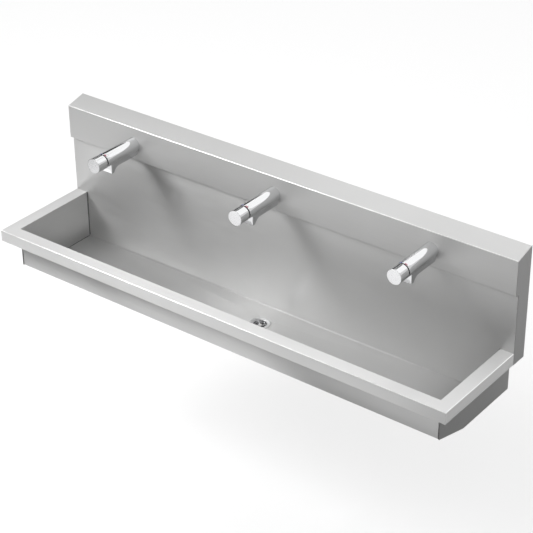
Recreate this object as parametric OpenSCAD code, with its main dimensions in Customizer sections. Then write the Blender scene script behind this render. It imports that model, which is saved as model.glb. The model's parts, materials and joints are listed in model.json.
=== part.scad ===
/* [Trough] */
// Length of the trough from end to end
trough_w = 1800; // [1600:50:2400]
// Depth from the front fascia to the wall
trough_d = 447; // [420:1:600]
// Thickness of the folded steel sheet
sheet_t = 1.5; // [1:0.1:2]
// Width of the flat rim round the bowl
rim_w = 47; // [40:1:60]
// Height of the fascia folded down from the rim
rim_drop = 43; // [35:1:60]
// Width of the lip folded in under the fascia
rim_lip = 14; // [8:1:20]

/* [Bowl] */
// Height of the upright part of the bowl's front wall
bowl_wall_h = 142; // [110:1:150]
// Depth of the bowl's floor below the rim at its edges
bowl_floor_h = 180; // [170:1:230]
// Distance from the front fascia to the fold where the flat floor begins
floor_fold_d = 185; // [150:1:200]
// Fall of the floor from its edges to the waste
floor_fall = 6; // [2:1:12]
// Side of the flat landing that the waste sits on
landing_w = 78; // [76:1:100]

/* [Splashback and header] */
// Distance from the wall to the face of the splashback
splash_d = 63; // [60:1:90]
// How far the header stands in front of the splashback
header_step = 14.3; // [12:0.1:18]
// Height of the header's lower edge above the rim
header_low = 209; // [200:1:230]
// Height of the header's front face
header_h = 122; // [115:1:160]
// Rise of the header's sloping top from front to wall
header_rise = 19.5; // [5:0.5:40]

/* [Taps] */
// Distance between neighbouring taps
tap_pitch = 600; // [500:10:640]
// Height of the tap's axis above the header's lower edge
tap_above = 59.5; // [57:0.5:64]
// Diameter of the tap's body and button
tap_dia = 52; // [50:1:56]
// Length of the tap's body in front of the header
tap_body_l = 156; // [140:1:200]
// Length of the button
button_l = 42.5; // [38:0.5:55]
// How far the button travels when it is pressed
button_travel = 4.5; // [3:0.5:6]

/* [Spout] */
// Width of the spout and of the rib that leads to it
spout_w = 44; // [38:1:46]
// Depth of the rib below the tap's axis
rib_drop = 30; // [28:1:36]
// Depth of the spout's mouth below the tap's axis
spout_drop = 48.5; // [42:0.5:60]
// Thickness of the spout from front to back at its mouth
spout_t = 12; // [11:0.5:18]
// Distance from the header to the spout's front face
spout_reach = 140; // [120:1:150]
// Radius of the curve from the rib down into the spout
spout_curve = 30.8; // [26:0.1:40]

/* [Waste and pipes] */
// Distance from the wall to the centre of the waste
waste_d = 160; // [140:1:190]
// Radius of the waste's outlet thread
waste_r = 23.9; // [22:0.1:25]
// Length of the waste below the landing
waste_l = 60; // [50:1:90]
// Radius of the two supply pipes
supply_r = 9; // [7.5:0.5:11]
// Radius of the small pipes to each tap
feed_r = 5; // [4:0.5:6]
// Height of the hot pipe above the lower edge of the top rail
hot_on_rail = 28; // [24:0.5:29]
// Depth of the cold pipe below the tap's axis
cold_below = 78.5; // [60:0.5:80]
// Distance from each outer tap to its supply drop
drop_offset = 50; // [45:1:100]

/* [Wall fixing] */
// Height between the two rows of wall fixings
fixing_h = 240; // [200:1:260]
// Radius of each wall fixing hole
fixing_r = 5.5; // [4.5:0.5:6.5]
// Thickness of the wall brackets and the top rail
bracket_t = 3; // [2:0.5:4]
// Width of each bracket's wall flange
bracket_w = 40; // [30:1:60]

/* [Hidden] */
$fn = 64;
over = 1;
running = 0.08;
free_gap = 0.5;
thread_gap = 0.05;

half_w = trough_w / 2;
front_y = -trough_d;
splash_y = -splash_d;
header_y = -(splash_d + header_step);
splash_back = splash_y + sheet_t;
inner_x = half_w - rim_w;
inner_y = front_y + rim_w;
floor_z = -bowl_floor_h;
fold_y = front_y + floor_fold_d;

front_fall_a = atan((bowl_floor_h - bowl_wall_h) / (fold_y - inner_y));
wall_fold_out = bowl_wall_h + sheet_t * tan((90 - front_fall_a) / 2);
floor_fold_out = fold_y - sheet_t * tan(front_fall_a / 2);

header_top = header_low + header_h;
header_d = splash_d + header_step;
header_slope = header_rise / header_d;
slope_skin = sheet_t * sqrt(1 + header_slope * header_slope);
cover_back_h = 25;
cheek_flange = 20;

rail_t = 2;
rail_h = 15;
splash_top = header_low + sheet_t + rail_h;

cover_screw_r = 2;
cover_screw_head_r = 3.5;
cover_screw_head_h = 2.2;
cover_screw_l = 9;
cover_screw_count = 7;
cover_screw_y = header_y + header_step / 2;
cover_screw_inset = 60;

top_rail_h = 40;
top_rail_lip = 18;
top_rail_z = header_top + header_rise - cover_back_h - top_rail_h - 2 * sheet_t;
top_fixing_share = 0.5;

bracket_x = tap_pitch / 2;
bracket_end = 45;
bracket_low = -fixing_h / 2 - bracket_end;
bracket_high = fixing_h / 2 + bracket_end;
bracket_flange = 40;

tap_r = tap_dia / 2;
tap_z = header_low + tap_above;
tap_places = [-tap_pitch, 0, tap_pitch];
shank_r = 17;
shank_l = 25;
port_x = 9.5;
port_l = 8;
plate_w = 96;
plate_h = 76;
plate_t = 3;
gasket_t = 2;
gasket_r = 24;
nut_t = 9;
nut_r = 26;

body_wall = 5;
bore_r = tap_r - body_wall;
bore_back = 50;
cartridge_l = 70;
cartridge_nose_r = 9;
cartridge_nose_l = 12;
cartridge_port_share = 0.33;
stem_r = 4;
stem_gap = 0.5;
sleeve_r = bore_r - running;
sleeve_back = bore_back + cartridge_l + cartridge_nose_l + free_gap;
button_gap = button_travel + free_gap;
sleeve_share = 0.66;
sleeve_front = tap_body_l + button_gap + button_l * sleeve_share;
spring_r = 10;
spring_wall = 2;
spring_gap = 0.5;
spring_depth = 10;
spring_seat = tap_body_l - spring_depth;
button_face = 6.5;
button_low = tap_body_l + button_gap;
button_high = button_low + button_l;
cavity_top = button_high - button_face;
pointer_w = 9;
pointer_d = 1.2;
pointer_end = 3;
pointer_rib_w = 1;
pointer_rib_x = 1.7;
pointer_rib_drop = 0.4;
mark_t = 0.4;
mark_l = 5;
mark_low_angle = 10;
mark_high_angle = 33;
rib_back = 8;
rib_top = 10;
outlet_w = 30;
outlet_t = 8;
outlet_h = 7;
outlet_clear = 0.05;
channel_w = 20;
outlet_jets = 7;
outlet_rows = 2;
jet_r = 1.1;
jet_edge_share = 0.5;

pipe_wall = 1;
feed_bend = 12;
supply_bend = 25;
supply_y = -22;
hot_z = top_rail_z + hot_on_rail;
cold_z = tap_z - cold_below;
stub_l = 16;
stub_r = feed_r + 2;
stub_in = 5;
supply_end = 26;
drop_x = tap_pitch + drop_offset;
valve_high = -35;
valve_low = -85;
valve_r = 13;
valve_boss_r = 7;
valve_boss_l = 20;
key_r = 4;
key_gap = 0.08;
key_in = 10;
key_out = 6;
lever_l = 32;
lever_w = 9;
lever_t = 3;
tail_low = -172;
tail_thread_r = 10.45;
tail_thread_l = 16;
clip_wall = 2.5;
clip_w = 12;
clip_foot_share = 0.8;

landing_z = floor_z - floor_fall;
waste_y = -waste_d;
waste_flange_r = 36;
waste_shank_step = 1;
waste_shank_r = waste_r + waste_shank_step;
tail_wall = 3.9;
seat_wall = 1.6;
waste_bore_r = waste_r - tail_wall;
waste_seat_r = waste_r - seat_wall;
waste_hole_gap = 0.6;
waste_gasket_t = 1;
waste_washer_t = 4;
waste_nut_t = 9;
waste_nut_r = 34;
waste_shank_free = 2.5;
waste_shank_l = sheet_t + waste_washer_t + waste_nut_t + waste_shank_free;
flange_edge = 2;
flange_crown = 3.2;
flange_dip = 1.6;
strainer_t = 3;
strainer_gap = 0.3;
strainer_drop = 5;
strainer_hub_r = 6.5;
strainer_bar_w = 4;
strainer_bars = 4;
bridge_w = 8;
bridge_t = 4;
bridge_drop = 10;
waste_screw_r = 2.5;
waste_screw_head_r = 5.5;
waste_screw_head_h = 2.2;
screw_slot = 1.2;
pad_w = 260;
pad_share = 0.6;
pad_start_share = 0.12;
pad_t = 3;
pad_count = 4;

// Height of the header's sloping top at a distance from the wall
function top_at(y) = header_top + (y - header_y) * header_slope;

// Extrudes an outline drawn in Y and Z along X, centred on the trough
module along_x(length) {
    rotate([90, 0, 90]) linear_extrude(height = length, center = true) children();
}

// Stands a child whose height runs along Z so that it runs out from the header towards the front
module outwards() {
    rotate([90, 0, 0]) children();
}

// Puts a tap piece, drawn with its axis along Z, on the header at one tap's place
module on_header(x) {
    translate([x, header_y, tap_z]) outwards() children();
}

module slab(x0, x1, y0, y1, z0, z1) {
    translate([x0, y0, z0]) cube([x1 - x0, y1 - y0, z1 - z0]);
}

// Outline of the rim: flat top, fascia and the lip under it, measured in from the outer face
module rim_outline() {
    polygon([
        [0, 0], [rim_w, 0], [rim_w, -sheet_t], [sheet_t, -sheet_t],
        [sheet_t, sheet_t - rim_drop], [rim_lip, sheet_t - rim_drop],
        [rim_lip, -rim_drop], [0, -rim_drop]
    ]);
}

module front_rim() {
    color("lightgray") intersection() {
        translate([0, front_y, 0]) along_x(trough_w) rim_outline();
        translate([0, 0, -rim_drop - over]) linear_extrude(height = rim_drop + 2 * over) polygon([
            [-half_w - over, front_y - over], [half_w + over, front_y - over],
            [inner_x - over, inner_y + over], [-inner_x + over, inner_y + over]
        ]);
    }
}

module right_rim() {
    color("lightgray") intersection() {
        translate([half_w, splash_y, 0]) mirror([1, 0, 0]) rotate([90, 0, 0])
            linear_extrude(height = splash_y - front_y) rim_outline();
        translate([0, 0, -rim_drop - over]) linear_extrude(height = rim_drop + 2 * over) polygon([
            [half_w + over, front_y - over], [half_w + over, splash_y + over],
            [inner_x - over, splash_y + over], [inner_x - over, inner_y + over]
        ]);
    }
}

module left_rim() {
    mirror([1, 0, 0]) right_rim();
}

// Floor that falls in four flat facets from its edges to a square landing at the waste
module floor_sheet() {
    half = landing_w / 2;
    edge = [[-inner_x, fold_y], [inner_x, fold_y], [inner_x, splash_y], [-inner_x, splash_y]];
    land = [for (s = [[-half, -half], [half, -half], [half, half], [-half, half]]) [s[0], waste_y + s[1]]];
    top = concat(
        [for (p = edge) [p[0], p[1], floor_z]],
        [for (p = land) [p[0], p[1], landing_z]]
    );
    low = [for (p = top) [p[0], p[1], p[2] - sheet_t]];
    polyhedron(points = concat(top, low), faces = [
        [0, 4, 5, 1], [1, 5, 6, 2], [2, 6, 7, 3], [3, 7, 4, 0], [4, 7, 6, 5],
        [8, 9, 13, 12], [9, 10, 14, 13], [10, 11, 15, 14], [11, 8, 12, 15], [12, 13, 14, 15],
        [0, 1, 9, 8], [1, 2, 10, 9], [2, 3, 11, 10], [3, 0, 8, 11]
    ]);
}

module bowl() {
    color("silver") difference() {
        union() {
            along_x(2 * inner_x) polygon([
                [inner_y, -sheet_t], [inner_y, -bowl_wall_h], [fold_y, floor_z], [fold_y, floor_z - sheet_t],
                [floor_fold_out, floor_z - sheet_t], [inner_y - sheet_t, -wall_fold_out],
                [inner_y - sheet_t, -sheet_t]
            ]);
            floor_sheet();
        }
        translate([0, waste_y, landing_z - sheet_t - over])
            cylinder(h = sheet_t + 2 * over, r = waste_shank_r + waste_hole_gap);
    }
}

module right_end_plate() {
    color("silver") translate([inner_x + sheet_t / 2, 0, 0]) along_x(sheet_t) polygon([
        [inner_y - sheet_t, -sheet_t], [0, -sheet_t], [0, floor_z - sheet_t],
        [floor_fold_out, floor_z - sheet_t], [inner_y - sheet_t, -wall_fold_out]
    ]);
}

module left_end_plate() {
    mirror([1, 0, 0]) right_end_plate();
}

module splash_panel() {
    wide = half_w - sheet_t;
    color("silver") translate([0, splash_back, 0]) rotate([90, 0, 0]) linear_extrude(height = sheet_t) polygon([
        [-inner_x, floor_z - sheet_t], [inner_x, floor_z - sheet_t], [inner_x, -sheet_t], [wide, -sheet_t],
        [wide, splash_top], [-wide, splash_top], [-wide, -sheet_t], [-inner_x, -sheet_t]
    ]);
}

module cover_screw_places() {
    span = 2 * (half_w - cover_screw_inset);
    for (i = [0 : cover_screw_count - 1])
        translate([-span / 2 + i * span / (cover_screw_count - 1), cover_screw_y, header_low]) children();
}

module header_cover() {
    back_low = header_top + header_rise - cover_back_h;
    color("gainsboro") difference() {
        along_x(2 * (half_w - sheet_t)) polygon([
            [splash_y, header_low], [header_y, header_low], [header_y, header_top], [0, top_at(0)],
            [0, back_low], [-sheet_t, back_low], [-sheet_t, top_at(-sheet_t) - slope_skin],
            [header_y + sheet_t, top_at(header_y + sheet_t) - slope_skin],
            [header_y + sheet_t, header_low + sheet_t], [splash_y, header_low + sheet_t]
        ]);
        for (x = tap_places)
            on_header(x) translate([0, 0, -sheet_t - over]) cylinder(h = sheet_t + 2 * over, r = shank_r + free_gap);
        cover_screw_places() translate([0, 0, -over])
            cylinder(h = sheet_t + 2 * over, r = cover_screw_r + free_gap);
    }
}

module right_cheek() {
    flange_high = header_top + header_rise - cover_back_h - sheet_t;
    color("gainsboro") union() {
        translate([half_w - sheet_t / 2, 0, 0]) along_x(sheet_t) polygon([
            [splash_y, -rim_drop], [0, -rim_drop], [0, top_at(0)], [header_y, header_top],
            [header_y, header_low], [splash_y, header_low]
        ]);
        slab(half_w - sheet_t - cheek_flange, half_w - sheet_t, -sheet_t, 0, -rim_drop + sheet_t, flange_high);
        slab(inner_x + sheet_t, half_w - sheet_t, splash_y, 0, -rim_drop, -rim_drop + sheet_t);
    }
}

module left_cheek() {
    mirror([1, 0, 0]) right_cheek();
}

// Angle inside the header that the cover is screwed to from below
module header_rail() {
    low = header_low + sheet_t;
    color("darkgray") difference() {
        along_x(2 * (half_w - sheet_t)) polygon([
            [header_y + sheet_t, low], [splash_y, low], [splash_y, low + rail_h],
            [splash_y - rail_t, low + rail_h], [splash_y - rail_t, low + rail_t],
            [header_y + sheet_t, low + rail_t]
        ]);
        cover_screw_places() translate([0, 0, sheet_t - over])
            cylinder(h = rail_t + 2 * over, r = cover_screw_r + thread_gap);
    }
}

module cover_screws() {
    color("gray") cover_screw_places() {
        cylinder(h = cover_screw_l, r = cover_screw_r);
        translate([0, 0, -cover_screw_head_h]) cylinder(h = cover_screw_head_h, r = cover_screw_head_r);
    }
}

// Rail on the wall that holds the back edge of the header cover
module top_rail() {
    web_high = top_rail_z + top_rail_h;
    color("darkgray") difference() {
        along_x(2 * (half_w - sheet_t - cheek_flange)) polygon([
            [0, top_rail_z], [0, web_high], [-sheet_t, web_high], [-sheet_t, web_high + top_rail_lip],
            [-sheet_t - bracket_t, web_high + top_rail_lip], [-sheet_t - bracket_t, web_high - bracket_t],
            [-bracket_t, web_high - bracket_t], [-bracket_t, top_rail_z]
        ]);
        for (side = [-1, 1])
            translate([side * half_w * top_fixing_share, over, top_rail_z + top_rail_h / 2]) outwards()
                cylinder(h = bracket_t + 2 * over, r = fixing_r);
    }
}

// Folded bracket between the splashback and the wall, with two holes for wall bolts
module right_wall_bracket() {
    web_x = bracket_x + bracket_w / 2;
    color("darkgray") difference() {
        union() {
            slab(bracket_x - bracket_w / 2, web_x, -bracket_t, 0, bracket_low, cold_z + supply_r + 2 * clip_wall);
            slab(web_x, web_x + bracket_t, splash_back, 0, bracket_low, bracket_high);
            slab(web_x + bracket_t, web_x + bracket_flange, splash_back, splash_back + bracket_t,
                bracket_low, bracket_high);
        }
        for (side = [-1, 1])
            translate([bracket_x, over, side * fixing_h / 2]) outwards()
                cylinder(h = bracket_t + 2 * over, r = fixing_r);
    }
}

module left_wall_bracket() {
    mirror([1, 0, 0]) right_wall_bracket();
}

// Damping pads glued under the sloping front of the bowl
module sound_pads() {
    slant = (fold_y - inner_y) / cos(front_fall_a);
    span = 2 * inner_x / pad_count;
    color("dimgray") for (i = [0 : pad_count - 1])
        translate([-inner_x + (i + 0.5) * span, fold_y, floor_z]) rotate([-front_fall_a, 0, 0])
            slab(-pad_w / 2, pad_w / 2, -slant * (pad_start_share + pad_share), -slant * pad_start_share,
                -sheet_t - pad_t, -sheet_t);
}

module at_waste() {
    translate([0, waste_y, landing_z]) children();
}

module waste_body() {
    color("gray") at_waste() union() {
        rotate_extrude() polygon([
            [waste_bore_r, -waste_l], [waste_r, -waste_l], [waste_r, -waste_shank_l],
            [waste_shank_r, -waste_shank_l], [waste_shank_r, waste_gasket_t],
            [waste_flange_r, waste_gasket_t], [waste_flange_r, flange_edge],
            [waste_flange_r - flange_edge, flange_crown], [waste_seat_r + sheet_t, flange_dip],
            [waste_seat_r, flange_dip], [waste_seat_r, -strainer_drop - strainer_t],
            [waste_bore_r, -strainer_drop - strainer_t]
        ]);
        difference() {
            intersection() {
                slab(-waste_r, waste_r, -bridge_w / 2, bridge_w / 2, -bridge_drop - bridge_t, -bridge_drop);
                translate([0, 0, -waste_l]) cylinder(h = waste_l, r = waste_bore_r + pipe_wall);
            }
            translate([0, 0, -waste_l]) cylinder(h = waste_l, r = waste_screw_r);
        }
    }
}

module waste_gasket() {
    color("dimgray") at_waste() difference() {
        cylinder(h = waste_gasket_t, r = waste_flange_r - flange_edge);
        translate([0, 0, -over]) cylinder(h = waste_gasket_t + 2 * over, r = waste_shank_r + waste_hole_gap);
    }
}

module waste_washer() {
    color("dimgray") at_waste() translate([0, 0, -sheet_t - waste_washer_t]) difference() {
        cylinder(h = waste_washer_t, r = waste_flange_r);
        translate([0, 0, -over]) cylinder(h = waste_washer_t + 2 * over, r = waste_shank_r + thread_gap);
    }
}

module waste_nut() {
    color("lightgray") at_waste() translate([0, 0, -sheet_t - waste_washer_t - waste_nut_t]) difference() {
        cylinder(h = waste_nut_t, r = waste_nut_r, $fn = 6);
        translate([0, 0, -over]) cylinder(h = waste_nut_t + 2 * over, r = waste_shank_r + thread_gap);
    }
}

// Grate sunk in the waste: a ring and a hub joined by four bars
module waste_strainer() {
    ring_r = waste_seat_r - strainer_gap;
    color("silver") at_waste() translate([0, 0, -strainer_drop - strainer_t]) difference() {
        union() {
            difference() {
                cylinder(h = strainer_t, r = ring_r);
                translate([0, 0, -over]) cylinder(h = strainer_t + 2 * over, r = waste_bore_r);
            }
            cylinder(h = strainer_t, r = strainer_hub_r);
            for (i = [0 : strainer_bars - 1])
                rotate([0, 0, 360 * (i + 0.5) / strainer_bars])
                    slab(0, (ring_r + waste_bore_r) / 2, -strainer_bar_w / 2, strainer_bar_w / 2, 0, strainer_t);
        }
        translate([0, 0, -over]) cylinder(h = strainer_t + 2 * over, r = waste_screw_r);
    }
}

module waste_screw() {
    shaft_l = bridge_drop + bridge_t - strainer_drop;
    color("gainsboro") at_waste() translate([0, 0, -strainer_drop]) difference() {
        union() {
            cylinder(h = waste_screw_head_h, r = waste_screw_head_r);
            translate([0, 0, -shaft_l]) cylinder(h = shaft_l, r = waste_screw_r);
        }
        slab(-waste_screw_head_r - over, waste_screw_head_r + over, -screw_slot / 2, screw_slot / 2,
            waste_screw_head_h / 2, waste_screw_head_h + over);
    }
}

// Supply pipe that runs along the taps and turns down at one end, to the right as drawn
module supply_run(pipe_z, r, closed, open) {
    start = -tap_pitch - supply_end + closed;
    drop_top = pipe_z - supply_bend;
    translate([start, supply_y, pipe_z]) rotate([0, 90, 0]) cylinder(h = drop_x - supply_bend - start, r = r);
    translate([drop_x - supply_bend, supply_y, drop_top]) rotate([90, 0, 0])
        rotate_extrude(angle = 90) translate([supply_bend, 0]) circle(r = r);
    translate([drop_x, supply_y, valve_high - open]) cylinder(h = drop_top - valve_high + open, r = r);
}

// Stub on a supply pipe for one tap's feed, pointing up when way is 1 and down when it is -1
module feed_stub(x, pipe_z, way) {
    translate([x, supply_y, pipe_z]) rotate([way > 0 ? 0 : 180, 0, 0])
        cylinder(h = stub_l, r = stub_r);
}

module feed_stub_bore(x, pipe_z, way) {
    translate([x, supply_y, pipe_z]) rotate([way > 0 ? 0 : 180, 0, 0]) {
        cylinder(h = stub_l + over, r = feed_r - pipe_wall);
        translate([0, 0, stub_l - stub_in]) cylinder(h = stub_in + over, r = feed_r + thread_gap);
    }
}

// Whole supply pipe with its three stubs; side is the end that it turns down at
module manifold(pipe_z, side, port, way) {
    difference() {
        union() {
            mirror([side < 0 ? 1 : 0, 0, 0]) supply_run(pipe_z, supply_r, 0, 0);
            for (x = tap_places)
                feed_stub(x + port, pipe_z, way);
        }
        mirror([side < 0 ? 1 : 0, 0, 0]) supply_run(pipe_z, supply_r - pipe_wall, pipe_wall, over);
        for (x = tap_places)
            feed_stub_bore(x + port, pipe_z, way);
    }
}

module hot_manifold() {
    color("peru") manifold(hot_z, -1, -port_x, -1);
}

module cold_manifold() {
    color("peru") manifold(cold_z, 1, port_x, 1);
}

// Clips that hold the hot pipe to the top rail and the cold pipe to the wall brackets
module pipe_clips() {
    block = supply_r + clip_wall;
    foot = supply_r * clip_foot_share;
    color("gainsboro") for (side = [-1, 1], z = [hot_z, cold_z])
        translate([side * bracket_x, supply_y, z]) rotate([0, 90, 0]) difference() {
            union() {
                cylinder(h = clip_w, r = block, center = true);
                translate([-foot, 0, -clip_w / 2]) cube([2 * foot, -supply_y - bracket_t, clip_w]);
            }
            cylinder(h = clip_w + 2 * over, r = supply_r + thread_gap, center = true);
        }
}

// Quarter turn stop valve on a supply drop, with the boss for its key pointing outwards
module stop_valve(side) {
    mid = (valve_high + valve_low) / 2;
    boss = valve_r + valve_boss_l / 2;
    translate([side * drop_x, supply_y, 0]) difference() {
        union() {
            translate([0, 0, valve_low]) cylinder(h = valve_high - valve_low, r = valve_r);
            translate([0, 0, mid]) rotate([0, side * 90, 0]) cylinder(h = boss, r = valve_boss_r);
        }
        translate([0, 0, valve_low - over])
            cylinder(h = valve_high - valve_low + 2 * over, r = supply_r - pipe_wall);
        translate([0, 0, mid]) rotate([0, side * 90, 0]) translate([0, 0, boss - key_in])
            cylinder(h = key_in + over, r = key_r + key_gap);
    }
}

module hot_stop_valve() {
    color("goldenrod") stop_valve(-1);
}

module cold_stop_valve() {
    color("goldenrod") stop_valve(1);
}

// Stem and small lever that turn the stop valve, in line with the pipe when open
module stop_key(side) {
    mid = (valve_high + valve_low) / 2;
    boss = valve_r + valve_boss_l / 2;
    translate([side * drop_x, supply_y, mid]) rotate([0, side * 90, 0]) {
        translate([0, 0, boss - key_in + free_gap]) cylinder(h = key_in - free_gap + key_out, r = key_r);
        translate([side > 0 ? -key_r : key_r - lever_l, -lever_w / 2, boss + key_out])
            cube([lever_l, lever_w, lever_t]);
    }
}

module hot_stop_key() {
    color("firebrick") stop_key(-1);
}

module cold_stop_key() {
    color("royalblue") stop_key(1);
}

// Pipe below the stop valve, ending in the thread for the building's supply
module supply_tail(side) {
    translate([side * drop_x, supply_y, 0]) difference() {
        union() {
            translate([0, 0, tail_low]) cylinder(h = valve_low - tail_low, r = supply_r);
            translate([0, 0, tail_low]) cylinder(h = tail_thread_l, r = tail_thread_r);
        }
        translate([0, 0, tail_low - over])
            cylinder(h = valve_low - tail_low + 2 * over, r = supply_r - pipe_wall);
    }
}

module hot_supply_tail() {
    color("peru") supply_tail(-1);
}

module cold_supply_tail() {
    color("peru") supply_tail(1);
}

module tap_plates() {
    color("darkgray") for (x = tap_places)
        on_header(x) translate([0, 0, -sheet_t - plate_t]) difference() {
            translate([-plate_w / 2, -plate_h / 2, 0]) cube([plate_w, plate_h, plate_t]);
            translate([0, 0, -over]) cylinder(h = plate_t + 2 * over, r = shank_r + free_gap);
        }
}

module tap_gaskets() {
    color("dimgray") for (x = tap_places)
        on_header(x) translate([0, 0, -sheet_t - plate_t - gasket_t]) difference() {
            cylinder(h = gasket_t, r = gasket_r);
            translate([0, 0, -over]) cylinder(h = gasket_t + 2 * over, r = shank_r + thread_gap);
        }
}

module tap_nuts() {
    color("goldenrod") for (x = tap_places)
        on_header(x) translate([0, 0, -sheet_t - plate_t - gasket_t - nut_t]) difference() {
            cylinder(h = nut_t, r = nut_r, $fn = 6);
            translate([0, 0, -over]) cylinder(h = nut_t + 2 * over, r = shank_r + thread_gap);
        }
}

// Sector of the ring where a temperature mark lies; side is 1 for hot and -1 for cold
module mark_sector(side) {
    turn = side > 0 ? 90 - mark_high_angle : 90 + mark_low_angle;
    translate([0, 0, tap_body_l - mark_l]) rotate([0, 0, turn])
        rotate_extrude(angle = mark_high_angle - mark_low_angle)
            translate([tap_r - mark_t, 0]) square([mark_t, mark_l]);
}

module hot_marks() {
    color("indianred") for (x = tap_places)
        on_header(x) mark_sector(1);
}

module cold_marks() {
    color("slateblue") for (x = tap_places)
        on_header(x) mark_sector(-1);
}

// Side outline of the rib and spout: out from the header along X, up along Y
module spout_outline() {
    rise = spout_drop - rib_drop;
    reach = sqrt(spout_curve * spout_curve - (spout_curve - rise) * (spout_curve - rise));
    back = spout_reach - spout_t;
    steps = 8;
    end_a = acos((spout_curve - rise) / spout_curve);
    polygon(concat(
        [[rib_back, -rib_top], [rib_back, -rib_drop]],
        [for (i = [0 : steps]) [
            back - reach + spout_curve * sin(end_a * i / steps),
            -rib_drop - spout_curve * (1 - cos(end_a * i / steps))
        ]],
        [[spout_reach, -spout_drop], [spout_reach, -rib_top]]
    ));
}

module spout_form(width) {
    rotate([0, -90, 0]) linear_extrude(height = width, center = true) spout_outline();
}

module tap_body() {
    mouth = spout_reach - spout_t / 2;
    color("whitesmoke") difference() {
        union() {
            cylinder(h = tap_body_l, r = tap_r);
            translate([0, 0, -shank_l]) cylinder(h = shank_l, r = shank_r);
            spout_form(spout_w);
        }
        translate([0, 0, bore_back]) cylinder(h = tap_body_l - bore_back + over, r = bore_r);
        for (side = [-1, 1]) {
            translate([side * port_x, 0, -shank_l - over]) cylinder(h = port_l + over, r = feed_r + thread_gap);
            translate([side * port_x, 0, -shank_l]) cylinder(h = bore_back + shank_l + over, r = feed_r - pipe_wall);
        }
        for (side = [-1, 1])
            mark_sector(side);
        slab(-channel_w / 2, channel_w / 2, -spout_drop + outlet_h - over, 0,
            mouth - outlet_t / 2 + pipe_wall, mouth + outlet_t / 2 - pipe_wall);
        slab(-outlet_w / 2, outlet_w / 2, -spout_drop - over, -spout_drop + outlet_h,
            mouth - outlet_t / 2, mouth + outlet_t / 2);
    }
}

// Insert in the spout's mouth that straightens the jet, a plate with rows of small holes
module flow_straighteners() {
    mouth = spout_reach - spout_t / 2;
    half = outlet_w / 2 - outlet_clear;
    color("dimgray") for (x = tap_places)
        on_header(x) difference() {
            slab(-half, half, -spout_drop, -spout_drop + outlet_h,
                mouth - outlet_t / 2 + outlet_clear, mouth + outlet_t / 2 - outlet_clear);
            for (i = [0 : outlet_jets - 1], j = [0 : outlet_rows - 1])
                translate([
                    (i - (outlet_jets - 1) / 2) * outlet_w / (outlet_jets + jet_edge_share),
                    -spout_drop - over,
                    mouth + (j - (outlet_rows - 1) / 2) * outlet_t / (outlet_rows + jet_edge_share)
                ]) rotate([-90, 0, 0]) cylinder(h = outlet_h + 2 * over, r = jet_r);
        }
}

module tap_cartridge() {
    low = bore_back;
    color("goldenrod") translate([0, 0, low]) difference() {
        union() {
            cylinder(h = cartridge_l, r = bore_r - thread_gap);
            cylinder(h = cartridge_l + cartridge_nose_l, r = cartridge_nose_r);
        }
        translate([0, 0, cartridge_l - cartridge_nose_l])
            cylinder(h = 2 * cartridge_nose_l + over, r = stem_r + stem_gap);
        for (side = [-1, 1])
            translate([side * port_x, 0, -over]) cylinder(h = cartridge_l * cartridge_port_share, r = feed_r - pipe_wall);
        rotate([90, 0, 0]) translate([0, spout_reach - spout_t / 2 - low, 0])
            cylinder(h = bore_r + over, r = outlet_t / 2 - pipe_wall);
    }
}

// Dark sleeve that turns in the body to mix the water, and that the button slides on
module tap_sleeve() {
    color("dimgray") translate([0, 0, sleeve_back]) difference() {
        cylinder(h = sleeve_front - sleeve_back, r = sleeve_r);
        translate([0, 0, -over]) cylinder(h = sleeve_front - sleeve_back + 2 * over, r = stem_r + stem_gap);
        translate([0, 0, spring_seat - sleeve_back])
            cylinder(h = sleeve_front - spring_seat + over, r = spring_r + spring_gap);
    }
}

module tap_spring() {
    color("lightgray") translate([0, 0, spring_seat]) difference() {
        cylinder(h = cavity_top - spring_seat, r = spring_r);
        translate([0, 0, -over]) cylinder(h = cavity_top - spring_seat + 2 * over, r = spring_r - spring_wall);
    }
}

// Push button with its stem and the ribbed pointer let into its top
module tap_button() {
    color("whitesmoke") difference() {
        union() {
            difference() {
                translate([0, 0, button_low]) cylinder(h = button_l, r = tap_r);
                translate([0, 0, button_low - over])
                    cylinder(h = cavity_top - button_low + over, r = sleeve_r + running);
            }
            translate([0, 0, bore_back + cartridge_l])
                cylinder(h = cavity_top - bore_back - cartridge_l + over, r = stem_r);
        }
        difference() {
            slab(-pointer_w / 2, pointer_w / 2, tap_r - pointer_d, tap_r + over,
                button_low + pointer_end, button_high - pointer_end);
            for (side = [-1, 1])
                translate([side * pointer_rib_x, 0, 0])
                    slab(-pointer_rib_w / 2, pointer_rib_w / 2, 0, tap_r - pointer_rib_drop,
                        button_low, button_high);
        }
    }
}

// Small pipe from a supply stub to the back of a tap: rises, turns towards the front and ends in the tap
module feed_path(rise, run, r, extra) {
    translate([0, 0, -extra]) cylinder(h = rise + extra, r = r);
    translate([0, -feed_bend, rise]) rotate([90, 0, 90])
        rotate_extrude(angle = 90) translate([feed_bend, 0]) circle(r = r);
    translate([0, -feed_bend, rise + feed_bend]) rotate([90, 0, 0]) cylinder(h = run + extra, r = r);
}

module feed_pipe(rise) {
    run = -header_y - shank_l + port_l + supply_y - feed_bend;
    difference() {
        feed_path(rise, run, feed_r, 0);
        feed_path(rise, run, feed_r - pipe_wall, over);
    }
}

module hot_feed(x) {
    start = hot_z - stub_l + stub_in;
    color("peru") translate([x - port_x, supply_y, start]) mirror([0, 0, 1])
        feed_pipe(start - tap_z - feed_bend);
}

module cold_feed(x) {
    start = cold_z + stub_l - stub_in;
    color("peru") translate([x + port_x, supply_y, start]) feed_pipe(tap_z - feed_bend - start);
}

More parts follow.
